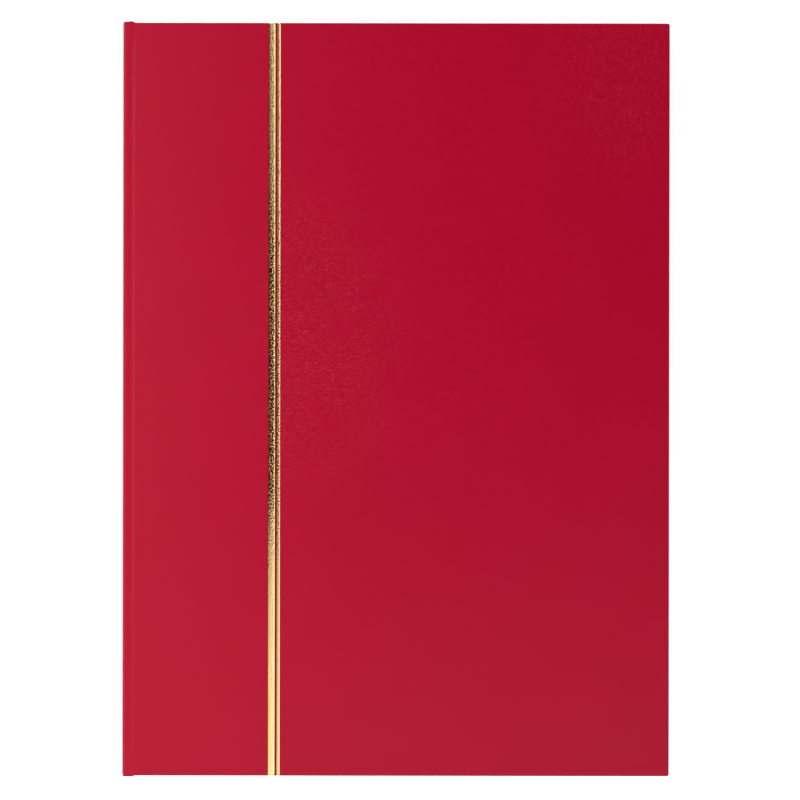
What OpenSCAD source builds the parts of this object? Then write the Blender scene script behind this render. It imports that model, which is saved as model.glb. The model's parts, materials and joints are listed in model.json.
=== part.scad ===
// Stamp album: a hard case in leather-look cloth around eight black card leaves.
// The closed album lies on its back cover. +X runs from the spine to the fore-edge,
// +Y from the tail to the head, and +Z from the back cover to the front cover.
// The origin is the middle of its footprint, on the surface that it lies on.
// Places are given as u, measured in from the spine's face, and v, measured up.

/* [Album] */
// Width of the closed album, from the spine to the fore-edge
album_w = 222; // [200:1:245]
// Height of the cover boards
board_h = 305; // [280:1:330]
// Thickness of the closed album
album_t = 15; // [14:0.5:18]

/* [Case] */
// Thickness of the cover boards
board_t = 2; // [1.6:0.1:2.4]
// Thickness of the leather-look cloth
cloth_t = 0.4; // [0.3:0.05:0.5]
// Thickness of the endpapers
endpaper_t = 0.2; // [0.15:0.05:0.25]
// Width of the cloth turned in over the inside of the boards
turn_in_w = 15; // [12:1:20]
// Border of turned-in cloth that the endpaper leaves bare
bare_cloth_w = 4; // [3:0.5:6]
// From the spine's face to the near edge of the boards
joint_w = 5.6; // [5:0.1:8]
// How far the spine and its joints stand past the boards at head and tail
joint_rise = 0.5; // [0.3:0.1:1]
// Depth of the groove pressed along each joint
groove_depth = 0.2; // [0.1:0.05:0.3]
// Radius of the cloth around each edge of the spine
corner_r = 1; // [0.8:0.1:1.2]

/* [Spine] */
// How far the rounded spine bulges between its edges
spine_bulge = 0.9; // [0.6:0.1:1.2]
// Thickness of the spine board
spine_board_t = 1; // [0.8:0.1:1.1]
// Thickness of the lining glued inside the spine
lining_t = 0.4; // [0.3:0.05:0.5]
// Length of the cloth turned in at the spine's head and tail
spine_turn_in = 12; // [8:1:20]
// Diameter of the headband and the tailband
band_d = 1.8; // [1.4:0.1:2]

/* [Gold bands] */
// From the spine's face to the wide gold band
gold_u = 59.7; // [30:0.1:120]
// Width of the wide gold band
wide_gold_w = 2.5; // [1:0.1:6]
// Red gap between the two gold bands
gold_gap = 0.95; // [0.3:0.05:2]
// Width of the narrow gold band
narrow_gold_w = 1.15; // [0.5:0.05:3]
// How deep the bands are pressed into the cloth
press_depth = 0.1; // [0.08:0.01:0.2]
// Thickness of the gold foil
foil_t = 0.05; // [0.03:0.01:0.07]

/* [Leaves] */
// How far the covers stand past the leaves at head, tail and fore-edge
cover_square = 4; // [3:0.5:6]
// Thickness of the black card
card_t = 0.5; // [0.4:0.05:0.5]
// Width of the linen fold between a leaf's guard and its card
fold_w = 6; // [4:0.5:8]
// Width of linen stuck to each face of the card
linen_lap = 6; // [4:0.5:10]
// Thickness of the linen and of the clear strips on the card
layer_t = 0.1; // [0.05:0.01:0.1]
// Thickness of the glassine interleaves
glassine_t = 0.08; // [0.05:0.01:0.1]
// How far the glassine stays inside the leaves' edges
glassine_inset = 2; // [1:0.5:4]

/* [Clear strips] */
// Number of clear strips on a page
strip_count = 9; // [5:1:10]
// Bare card between one strip and the next
strip_gap = 3.4; // [2:0.2:6]
// Bare card past the strips at head, tail and both sides
page_margin = 4; // [3:0.5:8]

/* [Hidden] */
$fn = 180;
leaf_count = 8;
// Slack cut past a face that a boolean opens
over = 1;
// Between a guard's end and the line that its leaf folds on
guard_clear = 0.5;
// Thickness of a leaf's guard and of an interleaf's stub
guard_t = 0.7;
stub_t = 0.2;
// Between a fold line and the start of its glassine sheet
glassine_start = 1;
// Where the lining ends, short of the spine's turned-in cloth
lining_clear = 1;
// Gap left between glued pieces, at a curved face or the end of another piece
glue_gap = 0.05;

spine_x = -album_w / 2;
mid_v = album_t / 2;
leaf_h = board_h - 2 * cover_square;
inner_v = board_t + 2 * cloth_t;
cover_t = inner_v + endpaper_t;
leaf_pitch = (album_t - 2 * cover_t) / leaf_count;
fore_edge_u = album_w - cover_square;

// The spine's face is an arc through its two edges and its bulge
spine_edge_v = groove_depth + corner_r;
spine_half = mid_v - spine_edge_v;
spine_r = (spine_half * spine_half + spine_bulge * spine_bulge) / (2 * spine_bulge);
board_outer_r = spine_r - cloth_t;
board_inner_r = board_outer_r - spine_board_t;
lining_inner_r = board_inner_r - lining_t;

// Leaves fold on lines stepped inwards from both covers, so an open half lies parallel to its cover
function leaf_v(i) = cover_t + leaf_pitch * (leaf_count - i + 0.5);
function glassine_v(i) = leaf_v(i) - leaf_pitch / 2;
function fold_u(v) = min(v, album_t - v);
function card_u(i) = fold_u(leaf_v(i)) + fold_w;
function lining_u(v) = spine_r - sqrt(pow(lining_inner_r, 2) - pow(mid_v - v, 2));
function strip_h() = (leaf_h - 2 * page_margin - (strip_count - 1) * strip_gap) / strip_count;
function leaf_name(i, piece) = str("leaf_", i, "_", piece);

LEAF_PIECES = ["card", "front_strips", "back_strips", "linen_hinge"];

red = [0.67, 0.08, 0.19];
gold = [0.85, 0.68, 0.32];
greyboard = [0.55, 0.52, 0.48];
black = [0.06, 0.06, 0.065];
ivory = [0.9, 0.88, 0.83];

// A box from u0 to u1 and from v0 to v1, centred along Y
module slab(u0, u1, v0, v1, h) {
    translate([spine_x + u0, -h / 2, v0])
        cube([u1 - u0, h, v1 - v0]);
}

// Extrudes a section drawn in u and v along Y, centred
module along_y(h) {
    translate([spine_x, 0, 0])
        rotate([90, 0, 0])
            linear_extrude(h, center = true)
                children();
}

// Turns a back cover piece into the matching front cover piece
module on_front() {
    translate([0, 0, album_t])
        mirror([0, 0, 1])
            children();
}

// Band of the rounded spine between two radii, starting edge_v above each side
module spine_band(r_out, r_in, edge_v) {
    intersection() {
        translate([spine_r, mid_v])
            difference() {
                circle(r_out);
                circle(r_in);
            }
        translate([0, edge_v])
            square([spine_r / 2, album_t - 2 * edge_v]);
    }
}

// Rectangular section clipped to the rounded inside of the spine
module stub_section(v, thickness) {
    intersection() {
        translate([0, v - thickness / 2])
            square([fold_u(v) - guard_clear, thickness]);
        translate([spine_r, mid_v])
            circle(lining_inner_r - glue_gap);
    }
}

module cover_board() {
    color(greyboard)
        slab(joint_w, album_w - cloth_t, cloth_t, cloth_t + board_t, board_h - 2 * cloth_t);
}

// One sheet over a board's outside, around three edges and turned in behind them
module wrapped_cloth() {
    difference() {
        slab(joint_w, album_w, 0, inner_v, board_h);
        slab(joint_w - over, album_w - cloth_t, cloth_t, cloth_t + board_t, board_h - 2 * cloth_t);
        slab(
            joint_w - over, album_w - turn_in_w,
            cloth_t + board_t - over / 10, inner_v + over,
            board_h - 2 * turn_in_w
        );
    }
}

module back_cloth() {
    color(red)
        wrapped_cloth();
}

// The paste-down steps from the bare board up onto the turned-in cloth
module endpaper() {
    well_u = album_w - turn_in_w;
    well_h = board_h - 2 * turn_in_w;
    color(ivory)
        difference() {
            union() {
                slab(joint_w, album_w - bare_cloth_w, inner_v, cover_t, board_h - 2 * bare_cloth_w);
                slab(joint_w, well_u, cloth_t + board_t, cover_t, well_h);
            }
            slab(
                joint_w - over, well_u - endpaper_t,
                cloth_t + board_t + endpaper_t, cover_t + over,
                well_h - 2 * endpaper_t
            );
        }
}

// Cloth around the spine's edge and along the pressed groove
module joint_cloth() {
    color(red)
        along_y(board_h + 2 * joint_rise) {
            intersection() {
                translate([spine_bulge + corner_r, spine_edge_v])
                    difference() {
                        circle(corner_r);
                        circle(corner_r - cloth_t);
                    }
                translate([0, groove_depth])
                    square([spine_bulge + corner_r, corner_r]);
            }
            translate([spine_bulge + corner_r, groove_depth])
                square([joint_w - spine_bulge - corner_r, cloth_t]);
        }
}

// Paper that crosses the joint from the paste-down to the lining
module endpaper_hinge() {
    color(ivory)
        slab(lining_u(inner_v), joint_w, inner_v, cover_t, board_h - 2 * bare_cloth_w);
}

module spine_board() {
    color(greyboard)
        along_y(board_h)
            spine_band(board_outer_r, board_inner_r, spine_edge_v + cloth_t);
}

// Cloth over the spine board, over its ends and turned in behind them
module spine_leatherette() {
    end_t = joint_rise;
    color(red) {
        along_y(board_h)
            spine_band(spine_r, board_outer_r, spine_edge_v);
        for (side = [-1, 1]) {
            translate([0, side * (board_h + end_t) / 2, 0])
                along_y(end_t)
                    spine_band(spine_r, lining_inner_r, spine_edge_v);
            translate([0, side * (board_h - spine_turn_in) / 2, 0])
                along_y(spine_turn_in)
                    spine_band(board_inner_r, lining_inner_r, inner_v);
        }
    }
}

module spine_lining() {
    color(ivory)
        along_y(board_h - 2 * (spine_turn_in + lining_clear))
            spine_band(board_inner_r, lining_inner_r, inner_v);
}

// Striped roll glued across the end of the leaves' guards
module end_band(side) {
    roll_u = lining_u(cover_t) + band_d / 2;
    color("firebrick")
        translate([spine_x + roll_u, side * (leaf_h / 2 + glue_gap + band_d / 2), cover_t])
            cylinder(h = album_t - 2 * cover_t, d = band_d);
}

module leaf_guards() {
    color(black)
        for (i = [1 : leaf_count])
            along_y(leaf_h)
                stub_section(leaf_v(i), guard_t);
}

module interleaf_stubs() {
    color("gainsboro")
        for (i = [1 : leaf_count - 1])
            along_y(leaf_h)
                stub_section(glassine_v(i), stub_t);
}

// Groove for a gold band, or the foil in it when thickness is foil_t
module gold_strip(u, width, thickness) {
    slab(u, u + width, album_t - press_depth, album_t - press_depth + thickness, board_h + over);
}

module front_cloth() {
    color(red)
        difference() {
            on_front()
                wrapped_cloth();
            gold_strip(gold_u, wide_gold_w, press_depth + over);
            gold_strip(gold_u + wide_gold_w + gold_gap, narrow_gold_w, press_depth + over);
        }
}

module gold_foil(u, width) {
    floor_v = album_t - press_depth;
    color(gold)
        slab(u, u + width, floor_v, floor_v + foil_t, board_h);
}

module leaf_card(i) {
    v = leaf_v(i);
    color(black)
        slab(card_u(i), fore_edge_u, v - card_t / 2, v + card_t / 2, leaf_h);
}

// Clear strips in a column on one face of a leaf: face is 1 for the front and -1 for the back
module page_strips(i, face) {
    bottom_v = leaf_v(i) + (face > 0 ? card_t / 2 : -card_t / 2 - layer_t);
    step = strip_h() + strip_gap;
    color([0.85, 0.88, 0.9, 0.4])
        for (row = [0 : strip_count - 1])
            translate([0, (row - (strip_count - 1) / 2) * step, 0])
                slab(
                    card_u(i) + linen_lap + page_margin, fore_edge_u - page_margin,
                    bottom_v, bottom_v + layer_t, strip_h()
                );
}

// Linen from the guard's end to the card, then over both faces of the card
module linen_hinge(i) {
    v = leaf_v(i);
    edge_u = card_u(i);
    grip_v = card_t / 2 + layer_t;
    color([0.1, 0.1, 0.11])
        difference() {
            union() {
                slab(fold_u(v) - guard_clear + glue_gap, edge_u, v - layer_t, v + layer_t, leaf_h);
                slab(edge_u - layer_t, edge_u + linen_lap, v - grip_v, v + grip_v, leaf_h);
            }
            slab(edge_u, edge_u + linen_lap + over, v - card_t / 2, v + card_t / 2, leaf_h + over);
        }
}

module interleaf(i) {
    v = glassine_v(i);
    color([0.92, 0.92, 0.88, 0.6])
        slab(
            fold_u(v) + glassine_start, fore_edge_u - glassine_inset,
            v - glassine_t / 2, v + glassine_t / 2, leaf_h - 2 * glassine_inset
        );
}

cover_board();  // back_board
back_cloth();  // back_leatherette
endpaper();  // back_endpaper
joint_cloth();  // back_joint
endpaper_hinge();  // back_endpaper_hinge
spine_board();
spine_leatherette();
spine_lining();
end_band(1);  // headband
end_band(-1);  // tailband
leaf_guards();
interleaf_stubs();
on_front() cover_board();  // front_board
front_cloth();  // front_leatherette
on_front() endpaper();  // front_endpaper
on_front() joint_cloth();  // front_joint
on_front() endpaper_hinge();  // front_endpaper_hinge
gold_foil(gold_u, wide_gold_w);  // wide_gold_band
gold_foil(gold_u + wide_gold_w + gold_gap, narrow_gold_w);  // narrow_gold_band
for (i = [1 : leaf_count]) {
    leaf_card(i);
    page_strips(i, 1);
    page_strips(i, -1);
    linen_hinge(i);
}
for (i = [1 : leaf_count - 1])
    interleaf(i);
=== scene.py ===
import json
import math
import random

import bpy
import numpy as np
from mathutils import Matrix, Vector


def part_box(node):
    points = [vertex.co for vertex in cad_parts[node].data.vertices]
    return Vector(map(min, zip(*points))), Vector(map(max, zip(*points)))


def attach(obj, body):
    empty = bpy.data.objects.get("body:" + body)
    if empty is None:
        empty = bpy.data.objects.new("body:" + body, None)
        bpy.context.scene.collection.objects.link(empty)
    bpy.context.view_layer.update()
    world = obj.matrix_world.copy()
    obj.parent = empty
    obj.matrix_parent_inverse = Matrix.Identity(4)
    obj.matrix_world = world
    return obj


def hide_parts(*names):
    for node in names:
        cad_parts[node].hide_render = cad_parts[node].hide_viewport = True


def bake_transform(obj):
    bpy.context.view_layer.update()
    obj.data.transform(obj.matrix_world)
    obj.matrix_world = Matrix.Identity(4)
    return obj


# The looks of the stamp album. Lengths are metres in the CAD frame: +X runs from the spine to the
# fore-edge, +Y to the head and +Z from the back cover to the front cover. A cover is built once,
# as the back cover, and the front cover is that shape turned over.

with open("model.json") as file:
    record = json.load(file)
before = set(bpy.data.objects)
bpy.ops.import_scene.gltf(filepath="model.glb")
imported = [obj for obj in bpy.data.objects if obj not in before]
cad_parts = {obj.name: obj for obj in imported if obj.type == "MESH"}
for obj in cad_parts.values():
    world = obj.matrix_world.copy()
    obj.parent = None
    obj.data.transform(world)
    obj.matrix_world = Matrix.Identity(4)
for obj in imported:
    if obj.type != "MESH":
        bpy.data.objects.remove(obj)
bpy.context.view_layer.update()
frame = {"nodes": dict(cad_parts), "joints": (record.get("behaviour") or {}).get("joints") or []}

# ---------------------------------------------------------------- sizes

MM = 0.001
CLOTH_LO, CLOTH_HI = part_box("back_leatherette")
BOARD_LO, BOARD_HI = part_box("back_board")
PAPER_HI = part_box("back_endpaper")[1]
SPINE_LO, SPINE_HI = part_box("spine_leatherette")

ALBUM_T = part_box("front_leatherette")[1].z
EDGE_X = CLOTH_HI.x
SPINE_X = -EDGE_X
HALF_H = CLOTH_HI.y
JOINT_X = CLOTH_LO.x
CLOTH_T = BOARD_LO.z
CLOTH_MESH_T = 0.95 * CLOTH_T
INNER_Z = CLOTH_HI.z
COVER_T = PAPER_HI.z
PAPER_T = COVER_T - INNER_Z
PAPER_MESH_T = 0.9 * PAPER_T
BARE_CLOTH = EDGE_X - PAPER_HI.x
TURN_IN = 15 * MM
EDGE_R = 0.8 * MM
COVER_WARP = 0.1 * MM

SPINE_HALF_H = SPINE_HI.y
SPINE_EDGE_Z = SPINE_LO.z
SPINE_EDGE_U = 0.9 * MM
SPINE_BOARD_T = 1.0 * MM
SPINE_TURN_IN = 12 * MM

GOLD_BANDS = ("wide_gold_band", "narrow_gold_band")
PRESS_DEPTH = 0.14 * MM
PRESS_RIM = 0.05 * MM
PRESS_WALL = 0.4 * MM
PRESS_BEVEL = 0.12 * MM
FOIL_T = 0.04 * MM
RIM_W = 0.5 * MM
NARROW_RIM = 0.7

LEAVES = range(1, 1 + sum(node.endswith("_card") for node in frame["nodes"]))
INTERLEAVES = LEAVES[:-1]
MIDDLE_INTERLEAF = INTERLEAVES[len(INTERLEAVES) // 2]
LINEN_LAP = 6 * MM
UV_MAP = "Unrolled"
PRESSED_SHADE = "Pressed"
RIMS = "Rims"

TINY = 1e-7
FULL_TURN = 6.28

random.seed(7)


def hinge_place(joint_name):
    """Where a joint's axis crosses the XZ plane, as (x, z)."""
    joint = next(j for j in frame["joints"] if j["name"] == joint_name)
    return joint["pos_m"][0], joint["pos_m"][2]


def smoothstep(value, low, high):
    t = np.clip((np.asarray(value, float) - low) / (high - low), 0, 1)
    return t * t * (3 - 2 * t)


# ---------------------------------------------------------------- materials


class Nodes:
    """Builds one material's node tree with short calls."""

    def __init__(self, name):
        self.material = bpy.data.materials.new(name)
        self.material.use_nodes = True
        self.tree = self.material.node_tree
        self.shader = next(n for n in self.tree.nodes if n.type == "BSDF_PRINCIPLED")

    def add(self, kind, settings=(), **inputs):
        node = self.tree.nodes.new(kind)
        for key, value in dict(settings).items():
            setattr(node, key, value)
        for key, value in inputs.items():
            self.set(node, key.replace("_", " "), value)
        return node

    def set(self, node, socket, value):
        if isinstance(value, bpy.types.NodeSocket):
            self.tree.links.new(value, node.inputs[socket])
        else:
            node.inputs[socket].default_value = value

    def shade(self, **inputs):
        for key, value in inputs.items():
            self.set(self.shader, key.replace("_", " "), value)

    def math(self, operation, first, second=0.0, third=0.0):
        node = self.add("ShaderNodeMath", {"operation": operation})
        for index, value in enumerate((first, second, third)):
            self.set(node, index, value)
        return node.outputs[0]

    def uv_mm(self, stretch=(1, 1, 1)):
        """Unrolled coordinates in millimetres, so a texture's scale counts cells per millimetre."""
        uv = self.add("ShaderNodeUVMap", {"uv_map": UV_MAP}).outputs["UV"]
        scale = [s / MM for s in stretch]
        return self.add("ShaderNodeMapping", Vector=uv, Scale=scale).outputs["Vector"]

    def object_mm(self, stretch=(1, 1, 1)):
        place = self.add("ShaderNodeTexCoord").outputs["Object"]
        scale = [s / MM for s in stretch]
        return self.add("ShaderNodeMapping", Vector=place, Scale=scale).outputs["Vector"]

    def axis(self, vector, letter):
        return self.add("ShaderNodeSeparateXYZ", Vector=vector).outputs[letter]

    def mark(self, name):
        """What make_mesh stored on the points under this name."""
        return self.add("ShaderNodeAttribute", {"attribute_name": name}).outputs["Fac"]

    def noise(self, vector, scale, detail=3.0, roughness=0.5):
        node = self.add("ShaderNodeTexNoise", Vector=vector, Scale=scale, Detail=detail)
        self.set(node, "Roughness", roughness)
        return node.outputs["Fac"]

    def cell_edges(self, vector, scale):
        """Distance to the nearest edge in a pattern of irregular cells."""
        node = self.add("ShaderNodeTexVoronoi", {"feature": "DISTANCE_TO_EDGE"}, Vector=vector)
        self.set(node, "Scale", scale)
        return node.outputs["Distance"]

    def vector_math(self, operation, first, second=(0, 0, 0)):
        node = self.add("ShaderNodeVectorMath", {"operation": operation})
        self.set(node, 0, first)
        self.set(node, 1, second)
        return node

    def warped(self, vector, scale, amount):
        """vector pushed about by noise, so that cells lose their straight sides."""
        push = self.add("ShaderNodeTexNoise", Vector=vector, Scale=scale, Detail=2.0).outputs["Color"]
        centred = self.vector_math("SUBTRACT", push, (0.5, 0.5, 0.5)).outputs[0]
        scaled = self.vector_math("MULTIPLY", centred, (amount, amount, amount)).outputs[0]
        return self.vector_math("ADD", vector, scaled).outputs[0]

    def ramp(self, value, low, high, to_low=0.0, to_high=1.0):
        """value between low and high spread smoothly from to_low to to_high."""
        node = self.add("ShaderNodeMapRange", {"interpolation_type": "SMOOTHSTEP"})
        for socket, number in zip(range(5), (value, low, high, to_low, to_high)):
            self.set(node, socket, number)
        return node.outputs[0]

    def mix(self, share, first, second):
        node = self.add("ShaderNodeMix", {"data_type": "RGBA"})
        self.set(node, 0, share)
        self.set(node, 6, (*first, 1) if isinstance(first, tuple) else first)
        self.set(node, 7, (*second, 1) if isinstance(second, tuple) else second)
        return node.outputs[2]

    def bump(self, height, depth):
        """Normals bent by a height that stands for depth metres where it is 1."""
        node = self.add("ShaderNodeBump", Height=height, Distance=depth, Strength=1.0)
        return node.outputs["Normal"]


# Where the cloth has creases on the unrolled cover, in millimetres: the middle's x and y, then how far
# the creases reach in x and in y.
CREASED_BY_GOLD = (-42, 24, 62, 88)
CREASED_CORNER = (98, 132, 56, 64)


def near(m, x, y, reach_x, reach_y):
    """1 at a place on the unrolled cover, falling to 0 at reach away from it. All in millimetres."""
    offset = m.vector_math("SUBTRACT", m.uv_mm(), (x, y, 0)).outputs[0]
    shrunk = m.vector_math("DIVIDE", offset, (reach_x, reach_y, 1)).outputs[0]
    away = m.vector_math("LENGTH", shrunk).outputs["Value"]
    return m.ramp(away, 0.25, 1.0, 1.0, 0.0)


def wrinkles_along(m, turn, scale):
    """Short broken creases, turned by an angle from the cover's width: 1 in a crease, -1 on its lip."""
    turned = m.add("ShaderNodeMapping", Vector=m.uv_mm(), Rotation=(0, 0, math.radians(turn)))
    stretched = m.add("ShaderNodeMapping", Vector=turned.outputs["Vector"], Scale=(0.24, 1.0, 1.0))
    place = m.warped(stretched.outputs["Vector"], 0.5, 0.6)
    side = m.math("SUBTRACT", m.noise(place, scale, 1.5, 0.5), 0.5)
    into_crease = m.ramp(side, -0.06, 0.0)
    onto_lip = m.ramp(side, 0.0, 0.07, 0.0, -2.0)
    off_lip = m.ramp(side, 0.07, 0.14)
    profile = m.math("ADD", m.math("ADD", into_crease, onto_lip), off_lip)
    broken = m.ramp(m.noise(place, scale * 1.4, 0.0), 0.48, 0.62)
    return m.math("MULTIPLY", profile, broken)


def leather_grain(m):
    """Faint pebbles all over, with broken wrinkles beside the gold bands and at the head's corner."""
    place = m.uv_mm()
    pebbles = m.ramp(m.cell_edges(m.warped(m.uv_mm((0.8, 1.1, 1)), 0.9, 0.6), 1.15), 0.0, 0.25)
    grain = m.math("MULTIPLY", m.math("ADD", pebbles, m.noise(place, 3.0, 2.0)), 0.03)
    right_of_gold = m.ramp(m.axis(place, "X"), -56, -47, 0.25, 0.88)
    patches = m.ramp(m.noise(place, 0.05, 2.0), 0.30, 0.52)
    by_gold = m.math("MULTIPLY", near(m, *CREASED_BY_GOLD), right_of_gold)
    by_gold = m.math("MULTIPLY", by_gold, patches)
    corner = near(m, *CREASED_CORNER)
    level_share = m.math("MULTIPLY_ADD", corner, 0.4, by_gold)
    level = m.math("MULTIPLY", wrinkles_along(m, 8, 1.3), level_share)
    slanted = m.math("MULTIPLY", wrinkles_along(m, -32, 1.1), m.math("MULTIPLY", by_gold, 0.7))
    upright = m.math("MULTIPLY", wrinkles_along(m, 76, 1.3), m.math("MULTIPLY", corner, 0.55))
    wrinkles = m.math("ADD", m.math("ADD", level, slanted), upright)
    return m.math("MULTIPLY_ADD", wrinkles, -0.3, grain), wrinkles


def red_leatherette():
    m = Nodes("red_leatherette")
    height, wrinkles = leather_grain(m)
    tone = m.noise(m.uv_mm(), 0.03, 3.0)
    plain = m.mix(m.ramp(tone, 0.3, 0.7), (0.298, 0.0004, 0.0158), (0.306, 0.0006, 0.0170))
    # Painted shade: the colour is darker in the wrinkles' creases. Painted highlight: it is lighter on
    # their lips.
    creases = m.ramp(wrinkles, 0.0, 1.0)
    lit_lip_share = m.ramp(wrinkles, -1.0, 0.0, 1.0, 0.0)
    crease_shade = m.mix(creases, plain, (0.215, 0.0003, 0.004))
    lip_highlight = m.mix(lit_lip_share, crease_shade, (0.40, 0.0075, 0.035))
    # Painted shade: the cloth is darker round and between the gold bands, as the pressed gap lies in shade.
    colour = m.mix(m.mark(PRESSED_SHADE), lip_highlight, (0.155, 0.003, 0.0025))
    rough = m.ramp(m.noise(m.uv_mm(), 0.5, 3.0), 0.3, 0.7, 0.22, 0.27)
    m.shade(Base_Color=colour, Roughness=rough, Normal=m.bump(height, 0.1 * MM))
    m.shade(Specular_IOR_Level=m.math("MULTIPLY_ADD", creases, -0.1, 0.125))
    return m.material


def gold_foil():
    """Foil that took the cloth's grain over the upper two thirds and lies smooth towards the tail. Dark
    specks painted into its colour stand for dark reflections, with few of them towards the tail, and its
    rims carry painted shade.
    """
    m = Nodes("gold_foil")
    place = m.uv_mm()
    height_up = m.axis(place, "Y")
    rising = m.ramp(height_up, -98.0, -24.0)
    share = m.math("MULTIPLY", rising, m.ramp(height_up, 15.0, 150.0, 1.0, 0.57))
    rims = m.mark(RIMS)
    left_rim = m.ramp(rims, 0.5, 1.0)
    right_rim = m.ramp(rims, 0.0, 0.5, 1.0, 0.0)
    by_rims = m.math("MULTIPLY_ADD", left_rim, 0.12, m.math("MULTIPLY", right_rim, -0.14))
    evenly = m.math("MULTIPLY_ADD", share, 0.31, 0.27)
    limit = m.math("MULTIPLY_ADD", by_rims, rising, evenly)
    grains = m.noise(m.warped(place, 1.4, 0.3), 1.9, 1.0, 0.5)
    # Painted reflection: near-black specks in the colour where the grain would mirror the dark room.
    dark_reflection = m.ramp(m.math("SUBTRACT", grains, limit), -0.03, 0.03, 1.0, 0.0)
    streaks = m.noise(m.uv_mm((4.0, 0.05, 1)), 1.0, 2.0)
    bright = m.mix(m.ramp(streaks, 0.35, 0.65), (0.74, 0.50, 0.19), (0.80, 0.60, 0.29))
    # Painted shade: the gold is darker and browner at its right rim, and a painted shadow darkens its left
    # rim.
    gold_with_rim_shade = m.mix(m.math("MULTIPLY", right_rim, 0.8), bright, (0.52, 0.31, 0.175))
    left_rim_shadow = m.mix(left_rim, (0.012, 0.006, 0.003), (0.20, 0.010, 0.007))
    colour = m.mix(dark_reflection, gold_with_rim_shade, left_rim_shadow)
    relief = m.math("MULTIPLY", grains, m.math("MULTIPLY_ADD", rising, 0.95, 0.05))
    m.shade(Base_Color=colour, Metallic=1.0, Roughness=m.ramp(dark_reflection, 0.0, 1.0, 0.24, 0.4))
    m.shade(Normal=m.bump(relief, 0.06 * MM))
    return m.material


def greyboard():
    m = Nodes("greyboard")
    place = m.object_mm()
    flecks = m.ramp(m.noise(place, 2.5, 4.0, 0.7), 0.45, 0.7)
    colour = m.mix(flecks, (0.27, 0.24, 0.20), (0.42, 0.39, 0.34))
    m.shade(Base_Color=colour, Roughness=0.9, Normal=m.bump(m.noise(place, 4.0), 0.05 * MM))
    return m.material


def endpaper():
    m = Nodes("endpaper")
    place = m.uv_mm((1, 0.25, 1))
    fibres = m.noise(place, 1.2, 5.0, 0.65)
    laid = m.noise(m.uv_mm(), 0.05, 2.0)
    colour = m.mix(m.ramp(fibres, 0.3, 0.7), (0.74, 0.70, 0.60), (0.80, 0.77, 0.69))
    shaded = m.mix(m.ramp(laid, 0.4, 0.75, 0.0, 0.25), colour, (0.68, 0.63, 0.53))
    m.shade(Base_Color=shaded, Roughness=0.82, Normal=m.bump(fibres, 0.03 * MM))
    m.shade(Specular_IOR_Level=0.3)
    return m.material


def black_card():
    m = Nodes("black_card")
    place = m.object_mm()
    fibres = m.noise(place, 1.6, 5.0, 0.7)
    colour = m.mix(m.ramp(fibres, 0.35, 0.7), (0.010, 0.010, 0.011), (0.021, 0.021, 0.023))
    m.shade(Base_Color=colour, Roughness=m.ramp(fibres, 0.3, 0.7, 0.68, 0.82))
    m.shade(Normal=m.bump(fibres, 0.02 * MM), Specular_IOR_Level=0.35)
    return m.material


def black_linen():
    """Plain weave, 1.4 threads to the millimetre each way."""
    m = Nodes("black_linen")
    place = m.uv_mm()
    across = m.add("ShaderNodeTexWave", {"bands_direction": "X"}, Vector=place, Scale=0.44)
    along = m.add("ShaderNodeTexWave", {"bands_direction": "Y"}, Vector=place, Scale=0.44)
    weave = m.math("MULTIPLY", across.outputs["Fac"], along.outputs["Fac"])
    slub = m.noise(m.uv_mm((0.2, 1.5, 1)), 1.0, 3.0)
    height = m.math("MULTIPLY_ADD", slub, 0.4, weave)
    colour = m.mix(m.ramp(height, 0.2, 1.0), (0.006, 0.006, 0.007), (0.030, 0.030, 0.033))
    m.shade(Base_Color=colour, Roughness=0.85, Normal=m.bump(height, 0.06 * MM))
    m.shade(Sheen_Weight=0.15, Sheen_Roughness=0.5)
    return m.material


def clear_film():
    m = Nodes("clear_film")
    place = m.object_mm((0.15, 1, 1))
    ripple = m.noise(place, 0.12, 2.0)
    m.shade(Base_Color=(0.97, 0.98, 0.985, 1), Transmission_Weight=1.0, IOR=1.46)
    m.shade(Roughness=0.07, Normal=m.bump(ripple, 0.35 * MM))
    return m.material


def glassine():
    m = Nodes("glassine")
    place = m.uv_mm()
    clouds = m.noise(place, 0.09, 5.0, 0.6)
    cockle = m.noise(m.uv_mm((1, 0.3, 1)), 0.04, 2.0)
    colour = m.mix(m.ramp(clouds, 0.35, 0.7), (0.34, 0.34, 0.31), (0.41, 0.41, 0.385))
    m.shade(Base_Color=colour, Roughness=0.38, Alpha=0.72)
    m.shade(Normal=m.bump(cockle, 0.8 * MM), Specular_IOR_Level=0.5)
    return m.material


def striped_cotton():
    """Headband threads in red and white, which change about every second winding."""
    m = Nodes("striped_cotton")
    place = m.object_mm()
    stripes = m.add("ShaderNodeTexWave", {"bands_direction": "Z"}, Vector=place, Scale=0.155)
    twist = m.noise(m.object_mm((3, 3, 0.8)), 1.5, 3.0)
    pattern = m.ramp(stripes.outputs["Fac"], 0.45, 0.55)
    colour = m.mix(pattern, (0.36, 0.006, 0.022), (0.78, 0.74, 0.66))
    m.shade(Base_Color=colour, Roughness=0.8, Normal=m.bump(twist, 0.06 * MM))
    m.shade(Sheen_Weight=0.25, Sheen_Roughness=0.4)
    return m.material


def mull_lining():
    m = Nodes("mull_lining")
    place = m.object_mm()
    across = m.add("ShaderNodeTexWave", {"bands_direction": "Z"}, Vector=place, Scale=0.3)
    along = m.add("ShaderNodeTexWave", {"bands_direction": "Y"}, Vector=place, Scale=0.3)
    weave = m.math("MAXIMUM", across.outputs["Fac"], along.outputs["Fac"])
    colour = m.mix(m.ramp(weave, 0.3, 0.9), (0.42, 0.35, 0.22), (0.78, 0.74, 0.64))
    m.shade(Base_Color=colour, Roughness=0.9, Normal=m.bump(weave, 0.08 * MM))
    return m.material


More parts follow.
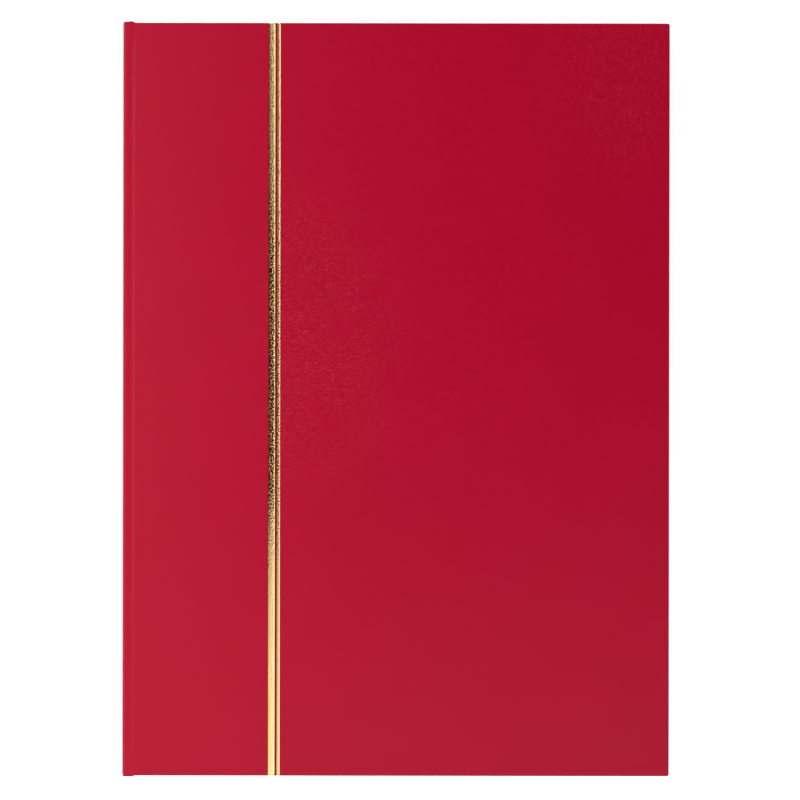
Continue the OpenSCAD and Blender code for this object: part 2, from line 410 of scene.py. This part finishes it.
def floor_paint():
    """A white table, faintly lit from inside so that it stays white around the album."""
    m = Nodes("floor_paint")
    speck = m.noise(m.object_mm(), 0.02, 4.0)
    colour = m.mix(speck, (0.90, 0.90, 0.90), (0.93, 0.93, 0.93))
    m.shade(Base_Color=colour, Roughness=0.9, Specular_IOR_Level=0.1)
    m.shade(Emission_Color=(1, 1, 1, 1), Emission_Strength=0.5)
    return m.material


LEATHERETTE = red_leatherette()
GOLD = gold_foil()
GREYBOARD = greyboard()
ENDPAPER = endpaper()
CARD = black_card()
LINEN = black_linen()
FILM = clear_film()
GLASSINE = glassine()
COTTON = striped_cotton()
LINING = mull_lining()

# ---------------------------------------------------------------- mesh tools

SHARP_ANGLE = math.radians(38)


def make_mesh(name, points, faces, face_uvs, material, marks=None):
    """marks holds values for the points by attribute name."""
    mesh = bpy.data.meshes.new(name)
    mesh.from_pydata([tuple(p) for p in points], [], faces)
    layer = mesh.uv_layers.new(name=UV_MAP)
    flat = [number for uvs in face_uvs for uv in uvs for number in uv]
    layer.data.foreach_set("uv", flat)
    mesh.polygons.foreach_set("use_smooth", [True] * len(mesh.polygons))
    mesh.set_sharp_from_angle(angle=SHARP_ANGLE)
    mesh.materials.append(material)
    for mark, values in (marks or {}).items():
        mesh.attributes.new(mark, "FLOAT", "POINT").data.foreach_set("value", values)
    mesh.validate()
    made = bpy.data.objects.new(name, mesh)
    bpy.context.scene.collection.objects.link(made)
    return made


def turned_over(points, faces, face_uvs):
    """A back cover shape as the matching front cover shape."""
    points = np.array(points)
    points[:, 2] = ALBUM_T - points[:, 2]
    return points, [f[::-1] for f in faces], [u[::-1] for u in face_uvs]


def closed_sheet(top, bottom, faces, face_uvs):
    """A thin closed solid from two layers of one grid, joined round every open edge."""
    count = len(top)
    solid = list(faces)
    uvs = list(face_uvs)
    edges = {}
    for face, corners in zip(faces, face_uvs):
        solid.append([i + count for i in reversed(face)])
        uvs.append(corners[::-1])
        for k, start in enumerate(face):
            after = (k + 1) % len(face)
            edges[start, face[after]] = corners[k], corners[after]
    for (a, b), (uv_a, uv_b) in edges.items():
        if (b, a) not in edges:
            solid.append([b, a, a + count, b + count])
            uvs.append([uv_b, uv_a, uv_a, uv_b])
    return np.vstack([top, bottom]), solid, uvs


def grid_faces(columns, rows, wrap=False):
    """Quads of a grid stored row by row; wrap joins its last column to its first."""
    faces = []
    for row in range(rows - 1):
        for column in range(columns if wrap else columns - 1):
            after = (column + 1) % columns
            first = row * columns
            above = first + columns
            faces.append([first + column, first + after, above + after, above + column])
    return faces


def tube_faces(size, rings):
    """Quads round a stack of rings of size points each, and a cap on both ends."""
    faces = grid_faces(size, rings, wrap=True)
    faces.append(list(range(size))[::-1])
    faces.append([(rings - 1) * size + k for k in range(size)])
    return faces


def point_uvs(faces, uv_of_point):
    return [[tuple(uv_of_point[i]) for i in face] for face in faces]


def lines_between(low, high, step, extra=()):
    """Grid lines from low to high, about step apart, that also run through every extra value."""
    extra = sorted(set([low, high, *extra]))
    lines = []
    for start, end in zip(extra, extra[1:]):
        parts = max(1, round((end - start) / step))
        lines += [start + (end - start) * k / parts for k in range(parts)]
    return np.array(lines + [high])


def flat_grid(xs, ys, top_z, bottom_z):
    """What closed_sheet takes: two layers over a grid of lines, their heights functions of x and y."""
    x, y = np.meshgrid(xs, ys)
    x, y = x.ravel(), y.ravel()
    top = np.column_stack([x, y, top_z(x, y)])
    bottom = np.column_stack([x, y, bottom_z(x, y)])
    faces = grid_faces(len(xs), len(ys))
    return top, bottom, faces, point_uvs(faces, np.column_stack([x, y]))


def bezier(points, count):
    """count + 1 points along a cubic curve."""
    a, b, c, d = (np.array(p, float) for p in points)
    t = np.linspace(0, 1, count + 1)[:, None]
    return a * (1 - t) ** 3 + 3 * b * t * (1 - t) ** 2 + 3 * c * t**2 * (1 - t) + d * t**3


def along(path):
    """Distance along a path at each of its points."""
    return np.concatenate([[0], np.cumsum(np.linalg.norm(np.diff(path, axis=0), axis=1))])


# ---------------------------------------------------------------- covers

ROUNDING_STEPS = 4
ROUNDING = [
    EDGE_R * (1 - math.tan(math.radians(45) * k / ROUNDING_STEPS)) for k in range(ROUNDING_STEPS + 1)
]
FLAP_STEP = 1 * MM
FLAP_LINES = [FLAP_STEP * k for k in range(2, round(TURN_IN / FLAP_STEP) + 1)]
MITRE_DEPTH = 0.14 * MM
GRID_STEP = 9 * MM
PAPER_STEP = 0.9 * MM
PAPER_RISE = 4 * MM
THREAD = 0.55 * MM


def warp(x, y):
    """The slight hollow of a pasted board, inwards from the outer face; it dies away at the joint."""
    swell = 0.5 + 0.5 * np.sin(x * 23 + 0.6) * np.cos(y * 17 - 0.4)
    return COVER_WARP * swell * smoothstep(x, JOINT_X, JOINT_X + 30 * MM)


def on_cover(points, depth):
    """Points of the cover's sharp-edged box, moved onto its rounded surface or depth below it."""
    low = np.array([-1, -HALF_H + EDGE_R, EDGE_R])
    high = np.array([EDGE_X - EDGE_R, HALF_H - EDGE_R, INNER_Z - EDGE_R])
    core = np.clip(points, low, high)
    out = points - core
    length = np.linalg.norm(out, axis=1)
    placed = core + out * ((EDGE_R - depth) / length)[:, None]
    placed[:, 2] += warp(placed[:, 0], placed[:, 1])
    return placed


def pressed_depth(x):
    """How deep the cloth is pressed under the gold bands: steep at the rims, then hollow."""
    depth = np.zeros_like(x)
    for band in GOLD_BANDS:
        low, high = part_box(band)
        inside = np.minimum(x - low.x, high.x - x)
        to_rim = PRESS_RIM * np.clip(1 + inside / PRESS_BEVEL, 0, 1)
        hollow = 1 - (1 - np.clip(inside / PRESS_WALL, 0, 1)) ** 2
        depth = np.maximum(depth, to_rim + (PRESS_DEPTH - PRESS_RIM) * hollow)
    return depth


def press_lines():
    lines = []
    for band in GOLD_BANDS:
        low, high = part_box(band)
        steps = [-2 * PRESS_BEVEL, -PRESS_BEVEL] + [PRESS_WALL * k / 4 for k in range(5)]
        lines += [low.x + step for step in steps] + [high.x - step for step in steps]
    return lines


def pressed_gap_shade(x):
    """1 across the gold bands and the pressed gap between them, where painted shade darkens the cloth, from
    one side of the bands to the other.
    """
    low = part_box(GOLD_BANDS[0])[0].x - 1.5 * PRESS_BEVEL
    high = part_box(GOLD_BANDS[1])[1].x + 1.5 * PRESS_BEVEL
    return np.clip(1 + np.minimum(x - low, high - x) / (0.5 * PRESS_BEVEL), 0, 1)


def cover_lattice(pressed):
    """The sharp points, faces and unrolled coordinates of the cloth round one cover."""
    edge_lines = ROUNDING + FLAP_LINES
    across = [EDGE_X - o for o in edge_lines] + (press_lines() if pressed else [])
    xs = lines_between(JOINT_X, EDGE_X, GRID_STEP, across)
    ys = lines_between(-HALF_H, HALF_H, GRID_STEP, [s * (HALF_H - o) for o in edge_lines for s in (-1, 1)])
    zs = lines_between(0, INNER_Z, EDGE_R, ROUNDING + [INNER_Z - o for o in ROUNDING])
    nx, ny, nz = len(xs) - 1, len(ys) - 1, len(zs) - 1
    ids, points, faces, uvs = {}, [], [], []

    def point(i, j, k):
        if (i, j, k) not in ids:
            ids[i, j, k] = len(points)
            points.append((xs[i], ys[j], zs[k]))
        return ids[i, j, k]

    def add(corners, unroll):
        faces.append([point(*c) for c in corners])
        uvs.append([unroll(xs[i], ys[j], zs[k]) for i, j, k in corners])

    def round_end(x, y, z):
        return x, math.copysign(HALF_H + z, y)

    def round_fore_edge(x, y, z):
        return EDGE_X + z, y

    def end_flap(x, y, z):
        return x, math.copysign(2 * HALF_H + INNER_Z - abs(y), y)

    def fore_edge_flap(x, y, z):
        return 2 * EDGE_X + INNER_Z - x, y

    for i in range(nx):
        for j in range(ny):
            add([(i, j, 0), (i, j + 1, 0), (i + 1, j + 1, 0), (i + 1, j, 0)], lambda x, y, z: (x, y))
            to_end = HALF_H - abs(ys[j] + ys[j + 1]) / 2
            to_edge = EDGE_X - (xs[i] + xs[i + 1]) / 2
            if min(to_end, to_edge) > TURN_IN:
                continue
            quad = [(i, j, nz), (i + 1, j, nz), (i + 1, j + 1, nz), (i, j + 1, nz)]
            if max(to_end, to_edge) < TURN_IN and abs(to_end - to_edge) < TINY:
                first = 0 if ys[j] + ys[j + 1] > 0 else 1
                quad = quad[first:] + quad[:first]
                add(quad[:3], fore_edge_flap)
                add(quad[2:] + quad[:1], end_flap)
            else:
                add(quad, end_flap if to_end < to_edge else fore_edge_flap)
    for i in range(nx):
        for k in range(nz):
            add([(i, ny, k), (i, ny, k + 1), (i + 1, ny, k + 1), (i + 1, ny, k)], round_end)
            add([(i, 0, k), (i + 1, 0, k), (i + 1, 0, k + 1), (i, 0, k + 1)], round_end)
    for j in range(ny):
        for k in range(nz):
            add([(nx, j, k), (nx, j + 1, k), (nx, j + 1, k + 1), (nx, j, k + 1)], round_fore_edge)
    return np.array(points), faces, uvs


def mitre_depth(points):
    """The seam where two turned-in flaps meet on a corner's diagonal."""
    off_diagonal = np.abs((EDGE_X - points[:, 0]) - (HALF_H - np.abs(points[:, 1])))
    on_flap = (points[:, 2] > INNER_Z - TINY) & (EDGE_X - points[:, 0] > EDGE_R)
    return np.where(on_flap & (off_diagonal < TINY), MITRE_DEPTH, 0)


def cover_cloth(name, is_front):
    points, faces, uvs = cover_lattice(pressed=is_front)
    depth = mitre_depth(points)
    if is_front:
        depth = np.maximum(depth, pressed_depth(points[:, 0]))
    shape = closed_sheet(on_cover(points, depth), on_cover(points, CLOTH_MESH_T), faces, uvs)
    if not is_front:
        return make_mesh(name, *shape, LEATHERETTE)
    # Where the cloth round the gold bands gets its painted shade.
    marks = {PRESSED_SHADE: np.tile(pressed_gap_shade(points[:, 0]), 2)}
    return make_mesh(name, *turned_over(*shape), LEATHERETTE, marks)


def gold_band(name, node):
    """Foil in its pressed groove, from the turned-in cloth at the tail to that at the head."""
    low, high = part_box(node)
    xs = lines_between(low.x, high.x, 1 * MM, [x for x in press_lines() if low.x < x < high.x])
    flap_end = HALF_H - BARE_CLOTH
    inner = [(y, INNER_Z) for y in np.linspace(-flap_end, -HALF_H + EDGE_R, 3)]
    corner_in = [(-HALF_H + o, INNER_Z) for o in ROUNDING[1:]]
    side = [(-HALF_H, z) for z in np.linspace(INNER_Z - EDGE_R * 0.2, EDGE_R * 0.2, 9)]
    corner_out = [(-HALF_H + o, 0) for o in reversed(ROUNDING[1:])]
    start = inner + corner_in + side + corner_out
    face = [(y, 0) for y in np.linspace(-HALF_H + EDGE_R, HALF_H - EDGE_R, 40)]
    path = start + face + [(-y, z) for y, z in reversed(start)]
    run = along(np.array(path))
    run -= run[-1] / 2
    points = np.array([(x, y, z) for y, z in path for x in xs])
    faces = [f[::-1] for f in grid_faces(len(xs), len(path))]
    uvs = point_uvs(faces, np.array([(x, s) for s in run for x in xs]))
    depth = pressed_depth(points[:, 0])
    shape = closed_sheet(on_cover(points, depth - FOIL_T), on_cover(points, depth), faces, uvs)
    # Rims mark where the foil gets its painted rim shadow and painted rim shade.
    left = np.clip(1 - (points[:, 0] - low.x) / RIM_W, 0, 1)
    right = np.clip(1 - (high.x - points[:, 0]) / RIM_W, 0, 1)
    if node == "narrow_gold_band":
        left, right = 0, np.maximum(right, NARROW_RIM)  # the narrow band: the right rim's painted shade over all of it, fewer painted dark specks, no painted shadow at its left rim
    marks = {RIMS: np.tile(0.5 + (left - right) / 2, 2)}
    piece = make_mesh(name, *turned_over(*shape), GOLD, marks)
    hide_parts(node)
    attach(piece, "front_cover")


def pastedown(name, is_front):
    """Endpaper on the board, stepping up over the turned-in cloth and towards the joint."""
    well_x, well_y = EDGE_X - TURN_IN, HALF_H - TURN_IN
    step = [PAPER_STEP * k / 2 for k in range(-2, 3)]
    rise = [JOINT_X + PAPER_RISE * k / 4 for k in range(1, 5)]
    xs = lines_between(JOINT_X, PAPER_HI.x, GRID_STEP, [well_x + s for s in step] + rise)
    steps_up = [k * (well_y + s) for s in step for k in (-1, 1)]
    ys = lines_between(-PAPER_HI.y, PAPER_HI.y, GRID_STEP, steps_up)

    def top_z(x, y):
        raised = np.maximum(
            smoothstep(x, well_x - PAPER_STEP, well_x + PAPER_STEP),
            smoothstep(np.abs(y), well_y - PAPER_STEP, well_y + PAPER_STEP),
        )
        raised = np.maximum(raised, 1 - smoothstep(x, JOINT_X, JOINT_X + PAPER_RISE))
        return BOARD_HI.z + PAPER_T + (INNER_Z - BOARD_HI.z) * raised + warp(x, y)

    def bottom_z(x, y):
        return top_z(x, y) - PAPER_MESH_T

    shape = closed_sheet(*flat_grid(xs, ys, top_z, bottom_z))
    if is_front:
        shape = turned_over(*shape)
    return make_mesh(name, *shape, ENDPAPER)


# ---------------------------------------------------------------- spine and joints


def joint_section():
    """Outer line of the joint in the XZ plane: off the board, through the groove, round the edge."""
    sunk, full = 0.045 * MM, 0.01 * MM
    stops = [
        [(JOINT_X - SPINE_X, 0), (5.2 * MM, 0), (4.9 * MM, sunk), (4.2 * MM, sunk)],
        [(4.2 * MM, sunk), (3.4 * MM, sunk), (3.0 * MM, full), (1.8 * MM, full)],
        [(1.8 * MM, full), (0.85 * MM, full), (0.6 * MM, 0.12 * MM), (SPINE_EDGE_U, SPINE_EDGE_Z)],
    ]
    path = np.vstack([bezier(c, 8)[:-1] for c in stops] + [np.array([stops[-1][-1]])])
    return path + np.array([SPINE_X, 0])


def spine_section():
    """Outer line of the rounded spine, from the back edge to the front edge."""
    half = ALBUM_T / 2 - SPINE_EDGE_Z
    radius = (half * half + SPINE_EDGE_U * SPINE_EDGE_U) / (2 * SPINE_EDGE_U)
    reach = math.asin(half / radius)
    turn = np.linspace(-reach, reach, 21)
    x = SPINE_X + radius - radius * np.cos(turn)
    return np.column_stack([x, ALBUM_T / 2 + radius * np.sin(turn)])


def inward(path):
    """Unit normals of a section that runs from the back joint round the spine, pointing at the leaves."""
    run = np.gradient(path, axis=0)
    run /= np.linalg.norm(run, axis=1)[:, None]
    return np.column_stack([run[:, 1], -run[:, 0]])


def fold_loop(reach, thickness, core, turn_in):
    """One long loop of cloth folded over at both ends, as (y, depth) pairs; core is what it wraps."""
    outer_r = thickness + core / 2
    ends = []
    arc = [math.radians(a) for a in range(90, -91, -30)]
    for a in arc:
        ends.append((reach - outer_r + outer_r * math.cos(a), outer_r - outer_r * math.sin(a)))
    full = 2 * outer_r
    ends.append((reach - turn_in, full))
    if core:
        ends.append((reach - turn_in, full - thickness))
        inner_r = core / 2
        for a in reversed(arc):
            ends.append((reach - outer_r + inner_r * math.cos(a), outer_r - inner_r * math.sin(a)))
    else:
        ends.append((reach - turn_in - 0.4 * MM, thickness))
    spans = [k * 0.1 for k in range(-9, 10)]
    face_reach = reach - outer_r
    back_reach = ends[-1][0]
    face = [(face_reach * s, 0.0) for s in spans]
    back = [(-back_reach * s, thickness) for s in spans]
    tail = [(-y, d) for y, d in reversed(ends)]
    return face + ends + back + tail


def cloth_strip(path, loop, end_rise):
    """Cloth along a section. loop runs the long way; end_rise shifts its ends by place on the path."""
    normals = inward(path)
    run = along(path)
    points, uv = [], []
    for (x, z), (nx, nz), s in zip(path, normals, run):
        head, tail = end_rise(x - SPINE_X)
        for y, depth in loop:
            shift = 0
            if abs(y) > SPINE_HALF_H - TURN_IN:
                shift = head if y > 0 else -tail
            points.append((x + nx * depth, y + shift, z + nz * depth))
            uv.append((SPINE_X - s, y + shift + math.copysign(depth, y)))
    faces = tube_faces(len(loop), len(path))
    return points, faces, point_uvs(faces, uv)


def joint_ends(u):
    """How far the joint's head and tail differ from the spine's, with a pucker at the head."""
    settle = float(smoothstep(u, 4.4 * MM, JOINT_X - SPINE_X))
    pucker = 0.16 * MM * math.exp(-(((u - 3.8 * MM) / (0.8 * MM)) ** 2))
    drop = SPINE_HALF_H - HALF_H
    head_short, tail_short = 0.05 * MM, 0.1 * MM
    head = pucker - head_short - (drop - head_short) * settle
    tail = -tail_short - (drop - tail_short) * settle
    return head, tail


def case_joint(name, is_front):
    loop = fold_loop(SPINE_HALF_H, CLOTH_T, 0, SPINE_TURN_IN)
    shape = cloth_strip(joint_section(), loop, joint_ends)
    if is_front:
        shape = turned_over(*shape)
    piece = make_mesh(name, *shape, LEATHERETTE)
    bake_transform(piece)
    return piece


def spine_cloth(name):
    loop = fold_loop(SPINE_HALF_H, CLOTH_T, SPINE_BOARD_T, SPINE_TURN_IN)
    shape = cloth_strip(spine_section(), loop, lambda u: (0, 0))
    return make_mesh(name, *shape, LEATHERETTE)


def paper_joint(name, is_front):
    """Endpaper from the pastedown over the joint to the spine's lining."""
    low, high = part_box("back_endpaper_hinge")
    xs = np.linspace(low.x, high.x, 13)
    ys = np.linspace(low.y, high.y, 31)

    def top_z(x, y):
        return np.full_like(x, high.z)

    def bottom_z(x, y):
        return np.full_like(x, high.z - PAPER_MESH_T)

    shape = closed_sheet(*flat_grid(xs, ys, top_z, bottom_z))
    if is_front:
        shape = turned_over(*shape)
    piece = make_mesh(name, *shape, ENDPAPER)
    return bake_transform(piece)


def end_roll(name, node):
    """A headband: a core wound with thread, so its surface runs in ridges."""
    low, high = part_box(node)
    centre_x, centre_y = (low.x + high.x) / 2, (low.y + high.y) / 2
    radius = (high.x - low.x) / 2
    height = high.z - low.z
    rings = 8 * round(height / THREAD)
    sides = 20
    points, uv = [], []
    for ring in range(rings + 1):
        z = height * ring / rings
        ridge = abs(math.sin(math.pi * z / THREAD))
        end = min(z, height - z) / radius
        body = math.sqrt(max(0.0, 1 - max(0.0, 1 - end) ** 2))
        reach = radius * body * (0.88 + 0.12 * ridge) + 0.02 * MM
        for side in range(sides):
            a = 2 * math.pi * side / sides
            points.append((centre_x + reach * math.cos(a), centre_y + reach * math.sin(a), low.z + z))
            uv.append((radius * a, z))
    faces = tube_faces(sides, rings + 1)
    piece = make_mesh(name, points, faces, point_uvs(faces, uv), COTTON)
    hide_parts(node)
    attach(piece, "spine")


# ---------------------------------------------------------------- leaves

CORNER_R = 1.5 * MM
CARD_BEVEL = 0.06 * MM
FILM_SHARE = 0.35  # how much of a strip's box its film takes; the rest is the pocket's lift


def card_piece(i):
    """Black card with its two outer corners slightly rounded and its edges softened."""
    low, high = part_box(f"leaf_{i}_card")
    trim = random.uniform(0, 0.25) * MM
    corner = [math.radians(a) for a in range(0, 91, 15)]
    right, top = high.x - trim - CORNER_R, high.y - CORNER_R
    outline = [(low.x, low.y)]
    outline += [(right + CORNER_R * math.sin(a), -top - CORNER_R * math.cos(a)) for a in corner]
    outline += [(right + CORNER_R * math.cos(a), top + CORNER_R * math.sin(a)) for a in corner]
    outline += [(low.x, high.y)]
    mid_x = (low.x + high.x) / 2
    inset = []
    for x, y in outline:
        inset.append((x - math.copysign(CARD_BEVEL, x - mid_x), y - math.copysign(CARD_BEVEL, y)))
    rings = [
        (inset, low.z), (outline, low.z + CARD_BEVEL), (outline, high.z - CARD_BEVEL), (inset, high.z),
    ]
    points = [(x, y, z) for ring, z in rings for x, y in ring]
    faces = tube_faces(len(outline), len(rings))
    uvs = point_uvs(faces, [p[:2] for p in points])
    piece = make_mesh(f"leaf_{i}_card_page", points, faces, uvs, CARD)
    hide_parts(f"leaf_{i}_card")
    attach(piece, f"leaf_{i}")


def strip_rows(node):
    """Lowest and highest y of each clear strip in a node, from its own corners."""
    ys = sorted({round(v.co.y, 6) for v in frame["nodes"][node].data.vertices})
    return list(zip(ys[0::2], ys[1::2]))


def strip_shape(low, high, foot, lip, up):
    """One clear strip: welded flat along its foot and ends, lifting to a free lip. up is 1 or -1."""
    card_z = low.z if up > 0 else high.z
    full = high.z - low.z
    film_t = full * FILM_SHARE
    phase = random.uniform(0, FULL_TURN)
    weld = [foot + k * MM for k in (0, 0.5, 1.0, 1.6, 4)]
    ys = np.concatenate([weld, np.linspace(foot + 8 * MM, lip - 1 * MM, 5), [lip]])
    from_end = [k * MM for k in (0.5, 1.2, 2.5)]
    end_lines = [low.x + e for e in from_end] + [high.x - e for e in from_end]
    xs = lines_between(low.x, high.x, 14 * MM, end_lines)

    def lift(x, y):
        pocket = smoothstep(y, foot + 0.9 * MM, foot + 3 * MM)
        pocket = pocket * smoothstep(np.minimum(x - low.x, high.x - x), 0.4 * MM, 2.4 * MM)
        wave = 0.5 + 0.5 * np.sin((x - low.x) * 75 + phase)
        return film_t + (full - film_t) * pocket * (0.65 + 0.35 * wave)

    def outer_z(x, y):
        return card_z + up * lift(x, y)

    def inner_z(x, y):
        return card_z + up * (lift(x, y) - film_t * 0.98)

    top, bottom, quads, quad_uvs = flat_grid(xs, ys, outer_z, inner_z)
    if up < 0:
        quads = [f[::-1] for f in quads]
        quad_uvs = [u[::-1] for u in quad_uvs]
    return closed_sheet(top, bottom, quads, quad_uvs)


def strips_piece(i, side):
    """All the clear strips of one page."""
    node = f"leaf_{i}_{side}_strips"
    low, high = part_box(node)
    points, faces, uvs = [], [], []
    for foot, lip in strip_rows(node):
        solid, solid_faces, solid_uvs = strip_shape(low, high, foot, lip, 1 if side == "front" else -1)
        start = len(points)
        points += [tuple(p) for p in solid]
        faces += [[k + start for k in f] for f in solid_faces]
        uvs += solid_uvs
    piece = make_mesh(f"leaf_{i}_{side}_films", points, faces, uvs, FILM)
    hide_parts(node)
    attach(piece, f"leaf_{i}")


def linen_piece(i):
    """Linen from the guard, across the fold, to a fork that grips the card's near edge."""
    low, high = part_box(f"leaf_{i}_linen_hinge")
    card_lo, card_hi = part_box(f"leaf_{i}_card")
    fold_x, fold_z = hinge_place(f"leaf_{i}_turn")
    web = 0.1 * MM
    grip = (high.z - low.z) / 2
    inner = (card_hi.z - card_lo.z) / 2 + 0.005 * MM
    card_x, lap_x = card_lo.x, card_lo.x + LINEN_LAP
    half = [(x, web) for x in np.linspace(low.x, card_x - 0.5 * MM, 13)]
    half += [(card_x - 0.1 * MM, grip * 0.85), (card_x + 0.3 * MM, grip), (lap_x - 0.4 * MM, grip)]
    half += [(lap_x, inner + 0.02 * MM), (lap_x, inner), (card_x + 0.02 * MM, inner)]
    section = half + [(x, -d) for x, d in reversed(half)]
    ys = np.linspace(low.y, high.y, 25)
    points = [(x, y, fold_z + d) for y in ys for x, d in section]
    run = along(np.array(section))
    uv = [(s, y) for y in ys for s in run]
    faces = tube_faces(len(section), len(ys))
    piece = make_mesh(f"leaf_{i}_linen", points, faces, point_uvs(faces, uv), LINEN)
    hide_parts(f"leaf_{i}_linen_hinge")
    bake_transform(piece)


def interleaf_piece(i):
    """A glassine sheet, very slightly cockled. The middle one has its grid split finely over a longer
    stretch from its fold.
    """
    node = f"interleaf_{i}"
    low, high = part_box(node)
    fold_x, fold_z = hinge_place(f"{node}_turn")
    bend = 42 * MM if i == MIDDLE_INTERLEAF else 5.8 * MM
    half_t = (high.z - low.z) / 2
    phase = random.uniform(0, FULL_TURN)
    xs = lines_between(fold_x - 0.4 * MM, high.x, 8 * MM, [fold_x + bend * k / 8 for k in range(9)])
    ys = np.linspace(low.y, high.y, 31)

    def mid_z(x, y):
        free = smoothstep(x, fold_x + 8 * MM, fold_x + 40 * MM)
        return fold_z + 0.05 * MM * free * np.sin(x * 46 + phase) * np.cos(y * 38 + phase * 2)

    def top_z(x, y):
        return mid_z(x, y) + half_t

    def bottom_z(x, y):
        return mid_z(x, y) - half_t

    shape = closed_sheet(*flat_grid(xs, ys, top_z, bottom_z))
    piece = make_mesh(f"{node}_sheet", *shape, GLASSINE)
    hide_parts(node)
    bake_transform(piece)


# ---------------------------------------------------------------- the album


def build_case():
    for side, is_front in (("back", False), ("front", True)):
        body = f"{side}_cover"
        cloth = cover_cloth(f"{body}_cloth", is_front)
        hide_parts(f"{side}_leatherette")
        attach(cloth, body)
        paper = pastedown(f"{side}_pastedown", is_front)
        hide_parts(f"{side}_endpaper")
        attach(paper, body)
        joint = case_joint(f"{side}_joint_cloth", is_front)
        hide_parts(f"{side}_joint")
        strip = paper_joint(f"{side}_joint_paper", is_front)
        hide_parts(f"{side}_endpaper_hinge")
    spine = spine_cloth("spine_cloth")
    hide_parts("spine_leatherette")
    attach(spine, "spine")
    end_roll("headband_roll", "headband")
    end_roll("tailband_roll", "tailband")
    gold_band("wide_band_foil", "wide_gold_band")
    gold_band("narrow_band_foil", "narrow_gold_band")


def build_leaves():
    for i in LEAVES:
        card_piece(i)
        strips_piece(i, "front")
        strips_piece(i, "back")
        linen_piece(i)
    for i in INTERLEAVES:
        interleaf_piece(i)


def dress_cad_nodes():
    """Materials for the CAD nodes that stay in view."""
    kept = {
        "front_board": GREYBOARD, "back_board": GREYBOARD, "spine_board": GREYBOARD,
        "spine_lining": LINING, "leaf_guards": CARD, "interleaf_stubs": GLASSINE,
    }
    for node, material in kept.items():
        mesh = frame["nodes"][node].data
        mesh.materials.clear()
        mesh.materials.append(material)


# ---------------------------------------------------------------- studio


def area_light(name, place, target, width, height, radiance):
    """A soft box of a given brightness, aimed at a point. Its power follows from its size."""
    data = bpy.data.lights.new(name, "AREA")
    data.shape = "RECTANGLE"
    data.size, data.size_y = width, height
    data.energy = radiance * math.pi * width * height
    lamp = bpy.data.objects.new(name, data)
    bpy.context.scene.collection.objects.link(lamp)
    lamp.location = place
    aim = np.array(target, float) - np.array(place, float)
    lamp.rotation_euler = direction(aim)
    lamp.visible_camera = False


def direction(aim):
    """Euler angles that point a lamp's or camera's -Z axis along aim."""
    return Vector(aim).to_track_quat("-Z", "Y").to_euler()


def white_floor():
    reach = 12.0
    corners = [(-reach, -reach, 0), (reach, -reach, 0), (reach, reach, 0), (-reach, reach, 0)]
    mesh = bpy.data.meshes.new("floor")
    mesh.from_pydata(corners, [], [[0, 1, 2, 3]])
    mesh.materials.append(floor_paint())
    floor = bpy.data.objects.new("floor", mesh)
    floor.location.z = -0.05 * MM
    bpy.context.scene.collection.objects.link(floor)


def white_room():
    """A white world, dim straight above, so the cover isn't veiled, and dimmer towards the spine's side."""
    world = bpy.data.worlds.new("studio")
    bpy.context.scene.world = world
    world.use_nodes = True
    tree = world.node_tree
    place = tree.nodes.new("ShaderNodeTexCoord")
    split = tree.nodes.new("ShaderNodeSeparateXYZ")
    tree.links.new(place.outputs["Generated"], split.inputs[0])
    product = tree.nodes.new("ShaderNodeMath")
    product.operation = "MULTIPLY"
    shades = (("Z", (0.72, 0.94, 0.74, 0.1)), ("X", (-0.9, -0.3, 0.4, 1.0)))
    for index, (axis, numbers) in enumerate(shades):
        shade = tree.nodes.new("ShaderNodeMapRange")
        tree.links.new(split.outputs[axis], shade.inputs[0])
        for socket, number in enumerate(numbers, start=1):
            shade.inputs[socket].default_value = number
        tree.links.new(shade.outputs[0], product.inputs[index])
    background = tree.nodes["Background"]
    tree.links.new(product.outputs[0], background.inputs["Strength"])
    background.inputs["Color"].default_value = (1, 1, 1, 1)


def studio():
    white_floor()
    white_room()
    area_light("left_key", (-0.43, 0.02, 0.36), (0, 0.02, 0), 1.0, 0.35, 2.75)
    area_light("left_panel", (-0.34, 0.55, 1.3), (-0.34, 0.55, 0), 0.26, 1.4, 3.6)
    area_light("tail_panel", (0.0, -0.95, 1.3), (0.0, -0.95, 0), 2.4, 1.6, 1.5)


def camera():
    """Straight above the closed album, with its spine on the left."""
    data = bpy.data.cameras.new("camera")
    view = bpy.data.objects.new("camera", data)
    bpy.context.scene.collection.objects.link(view)
    height = 2.0
    seen_width = 0.324
    data.lens = data.sensor_width * height / seen_width
    view.location = (1.9 * MM, -0.2 * MM, ALBUM_T + height)
    view.rotation_euler = (0, 0, math.radians(0.09))
    bpy.context.scene.camera = view


build_case()
build_leaves()
dress_cad_nodes()
studio()
camera()
bpy.context.scene.view_settings.view_transform = "Standard"
